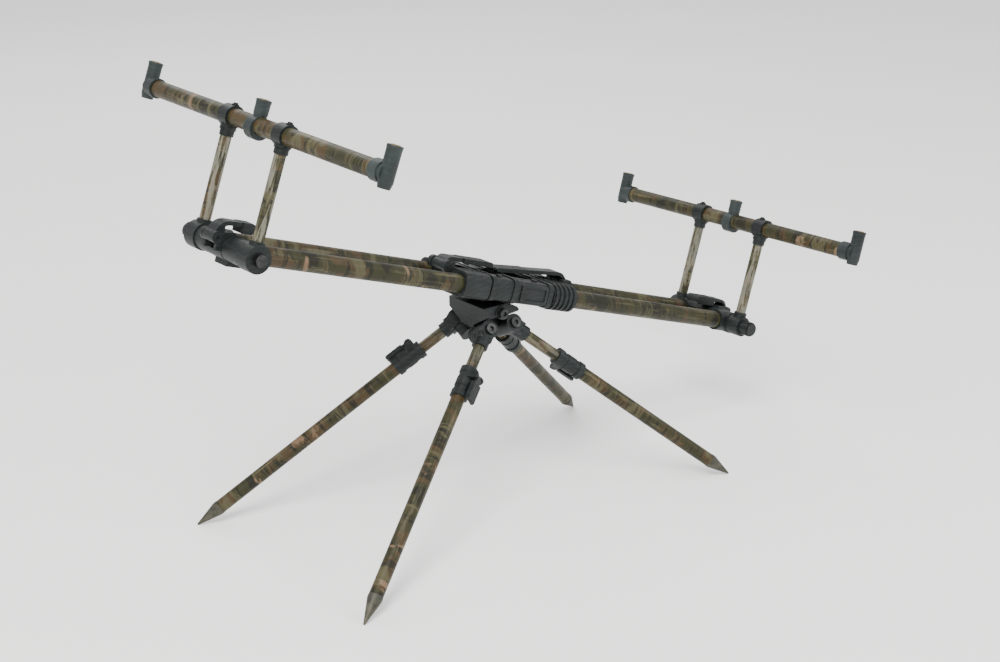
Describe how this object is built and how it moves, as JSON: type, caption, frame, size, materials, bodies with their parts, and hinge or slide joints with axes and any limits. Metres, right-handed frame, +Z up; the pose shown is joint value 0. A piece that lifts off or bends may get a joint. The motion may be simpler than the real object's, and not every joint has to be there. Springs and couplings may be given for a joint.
{
  "type": "rod pod",
  "caption": "Folding fishing rod pod: canted telescopic spiked legs, a tilting twin-rail telescopic body and a folding goalpost with an alarm crossbar at each end.",
  "frame": {"origin": "on the ground, under the middle of the whole pod", "axes": "+Z up; -X towards the raised front end; +Y towards the right side; +X towards the rear end"},
  "size_m": [0.7581, 0.4581, 0.5177],
  "materials": {
    "camo_tube": "satin camouflage print",
    "charcoal_plastic": "moulded, fine grain",
    "steel": "satin",
    "rail_alloy": "hard anodised",
    "spike_metal": "bead blasted",
    "brass": "machined"
  },
  "bodies": {
    "cradle": {"cradle_block": "charcoal_plastic", "tilt_fasteners": "steel", "leg_hinge_bolts": "steel"},
    "saddle": {"saddle_block": "charcoal_plastic", "inner_rails": "rail_alloy", "saddle_screws": "steel"},
    "front_slide": {"front_outer_rails": "camo_tube", "front_clamp_block": "charcoal_plastic", "front_bracket": "charcoal_plastic", "front_axle": "steel", "front_lever_pins": "steel"},
    "front_clamp_lever": {"front_clamp_lever": "charcoal_plastic"},
    "front_post_lever": {"front_post_lever": "charcoal_plastic"},
    "front_axle_knob": {"front_axle_knob": "charcoal_plastic"},
    "front_post": {"front_feet": "charcoal_plastic", "front_uprights": "camo_tube", "front_tee_clamps": "charcoal_plastic", "front_tee_screws": "steel"},
    "front_bar": {"front_crossbar": "camo_tube", "front_alarm_seats": "charcoal_plastic", "front_seat_inserts": "brass"},
    "front_left_leg": {"front_left_knuckle": "charcoal_plastic", "front_left_inner_leg": "camo_tube"},
    "front_left_leg_slide": {"front_left_outer_leg": "camo_tube", "front_left_leg_clamp": "charcoal_plastic", "front_left_spike": "spike_metal"},
    "front_left_leg_lever": {"front_left_leg_lever": "charcoal_plastic"},
    "front_right_leg": {"front_right_knuckle": "charcoal_plastic", "front_right_inner_leg": "camo_tube"},
    "front_right_leg_slide": {"front_right_outer_leg": "camo_tube", "front_right_leg_clamp": "charcoal_plastic", "front_right_spike": "spike_metal"},
    "front_right_leg_lever": {"front_right_leg_lever": "charcoal_plastic"},
    "rear_slide": {"rear_outer_rails": "camo_tube", "rear_clamp_block": "charcoal_plastic", "rear_bracket": "charcoal_plastic", "rear_axle": "steel", "rear_lever_pins": "steel"},
    "rear_clamp_lever": {"rear_clamp_lever": "charcoal_plastic"},
    "rear_post_lever": {"rear_post_lever": "charcoal_plastic"},
    "rear_axle_knob": {"rear_axle_knob": "charcoal_plastic"},
    "rear_post": {"rear_feet": "charcoal_plastic", "rear_uprights": "camo_tube", "rear_tee_clamps": "charcoal_plastic", "rear_tee_screws": "steel"},
    "rear_bar": {"rear_crossbar": "camo_tube", "rear_alarm_seats": "charcoal_plastic", "rear_seat_inserts": "brass"},
    "rear_left_leg": {"rear_left_knuckle": "charcoal_plastic", "rear_left_inner_leg": "camo_tube"},
    "rear_left_leg_slide": {"rear_left_outer_leg": "camo_tube", "rear_left_leg_clamp": "charcoal_plastic", "rear_left_spike": "spike_metal"},
    "rear_left_leg_lever": {"rear_left_leg_lever": "charcoal_plastic"},
    "rear_right_leg": {"rear_right_knuckle": "charcoal_plastic", "rear_right_inner_leg": "camo_tube"},
    "rear_right_leg_slide": {"rear_right_outer_leg": "camo_tube", "rear_right_leg_clamp": "charcoal_plastic", "rear_right_spike": "spike_metal"},
    "rear_right_leg_lever": {"rear_right_leg_lever": "charcoal_plastic"}
  },
  "joints": [
    {"name": "body_tilt", "type": "hinge", "parent": "cradle", "child": "saddle", "pos_m": [-0.03508, 0, 0.2357], "axis": [0, 1, 0], "range_deg": [-18.7, 1.3]},
    {"name": "front_body_slide", "type": "slide", "parent": "saddle", "child": "front_slide", "axis": [-0.9472, 0, 0.3206], "range_m": [0, 0.12]},
    {"name": "front_clamp_lever_turn", "type": "hinge", "parent": "front_slide", "child": "front_clamp_lever", "pos_m": [-0.09456, 0, 0.29859], "axis": [0, -1, 0], "range_deg": [0, 95]},
    {"name": "front_post_lever_turn", "type": "hinge", "parent": "front_slide", "child": "front_post_lever", "pos_m": [-0.37243, 0, 0.38684], "axis": [0, -1, 0], "range_deg": [0, 95]},
    {"name": "front_axle_knob_turn", "type": "hinge", "parent": "front_slide", "child": "front_axle_knob", "pos_m": [-0.35637, 0.0614, 0.3719], "axis": [0, 1, 0], "continuous": true},
    {"name": "front_post_fold", "type": "hinge", "parent": "front_slide", "child": "front_post", "pos_m": [-0.35637, 0, 0.3719], "axis": [0, 1, 0], "range_deg": [-95, 76]},
    {"name": "front_bar_roll", "type": "hinge", "parent": "front_post", "child": "front_bar", "pos_m": [-0.31287, 0, 0.48642], "axis": [-0.0074, -0.9998, -0.0196], "range_deg": [-90, 90]},
    {"name": "front_left_leg_fold", "type": "hinge", "parent": "cradle", "child": "front_left_leg", "pos_m": [-0.05258, -0.0253, 0.2167], "axis": [0, 0.859, -0.512], "range_deg": [0, 43]},
    {"name": "front_left_leg_extend", "type": "slide", "parent": "front_left_leg", "child": "front_left_leg_slide", "axis": [-0.7242, -0.3531, -0.5924], "range_m": [-0.028, 0.14]},
    {"name": "front_left_leg_lever_turn", "type": "hinge", "parent": "front_left_leg_slide", "child": "front_left_leg_lever", "pos_m": [-0.09201, -0.05784, 0.18132], "axis": [-0.5649, -0.1889, 0.8032], "range_deg": [0, 95]},
    {"name": "front_right_leg_fold", "type": "hinge", "parent": "cradle", "child": "front_right_leg", "pos_m": [-0.05258, 0.0253, 0.2167], "axis": [0, 0.859, 0.512], "range_deg": [0, 42]},
    {"name": "front_right_leg_extend", "type": "slide", "parent": "front_right_leg", "child": "front_right_leg_slide", "axis": [-0.7431, 0.3426, -0.5748], "range_m": [-0.028, 0.14]},
    {"name": "front_right_leg_lever_turn", "type": "hinge", "parent": "front_right_leg_slide", "child": "front_right_leg_lever", "pos_m": [-0.09791, 0.05651, 0.18778], "axis": [0.6691, 0.3805, -0.6383], "range_deg": [0, 95]},
    {"name": "rear_body_slide", "type": "slide", "parent": "saddle", "child": "rear_slide", "axis": [0.9472, 0, -0.3206], "range_m": [0, 0.12]},
    {"name": "rear_clamp_lever_turn", "type": "hinge", "parent": "rear_slide", "child": "rear_clamp_lever", "pos_m": [0.07625, 0, 0.23866], "axis": [0, 1, 0], "range_deg": [0, 95]},
    {"name": "rear_post_lever_turn", "type": "hinge", "parent": "rear_slide", "child": "rear_post_lever", "pos_m": [0.34745, 0, 0.14317], "axis": [0, 1, 0], "range_deg": [0, 95]},
    {"name": "rear_axle_knob_turn", "type": "hinge", "parent": "rear_slide", "child": "rear_axle_knob", "pos_m": [0.32562, -0.0614, 0.14106], "axis": [0, -1, 0], "continuous": true},
    {"name": "rear_post_fold", "type": "hinge", "parent": "rear_slide", "child": "rear_post", "pos_m": [0.32562, 0, 0.14106], "axis": [0, -1, 0], "range_deg": [-95, 76]},
    {"name": "rear_bar_roll", "type": "hinge", "parent": "rear_post", "child": "rear_bar", "pos_m": [0.36307, 0, 0.2577], "axis": [-0.0059, 0.9998, -0.0183], "range_deg": [-90, 90]},
    {"name": "rear_left_leg_fold", "type": "hinge", "parent": "cradle", "child": "rear_left_leg", "pos_m": [-0.01758, -0.0253, 0.2167], "axis": [0, -0.8846, 0.4664], "range_deg": [0, 25.5]},
    {"name": "rear_left_leg_extend", "type": "slide", "parent": "rear_left_leg", "child": "rear_left_leg_slide", "axis": [0.7034, -0.3315, -0.6288], "range_m": [-0.044, 0.115]},
    {"name": "rear_left_leg_lever_turn", "type": "hinge", "parent": "rear_left_leg_slide", "child": "rear_left_leg_lever", "pos_m": [0.03658, -0.04021, 0.16269], "axis": [0.7108, 0.3281, 0.6222], "range_deg": [0, 95]},
    {"name": "rear_right_leg_fold", "type": "hinge", "parent": "cradle", "child": "rear_right_leg", "pos_m": [-0.01758, 0.0253, 0.2167], "axis": [0, -0.8846, -0.4664], "range_deg": [0, 25.5]},
    {"name": "rear_right_leg_extend", "type": "slide", "parent": "rear_right_leg", "child": "rear_right_leg_slide", "axis": [0.6984, 0.3338, -0.6331], "range_m": [-0.044, 0.115]},
    {"name": "rear_right_leg_lever_turn", "type": "hinge", "parent": "rear_right_leg_slide", "child": "rear_right_leg_lever", "pos_m": [0.0362, 0.06162, 0.17355], "axis": [0.7157, -0.3257, 0.6178], "range_deg": [0, 95]}
  ]
}
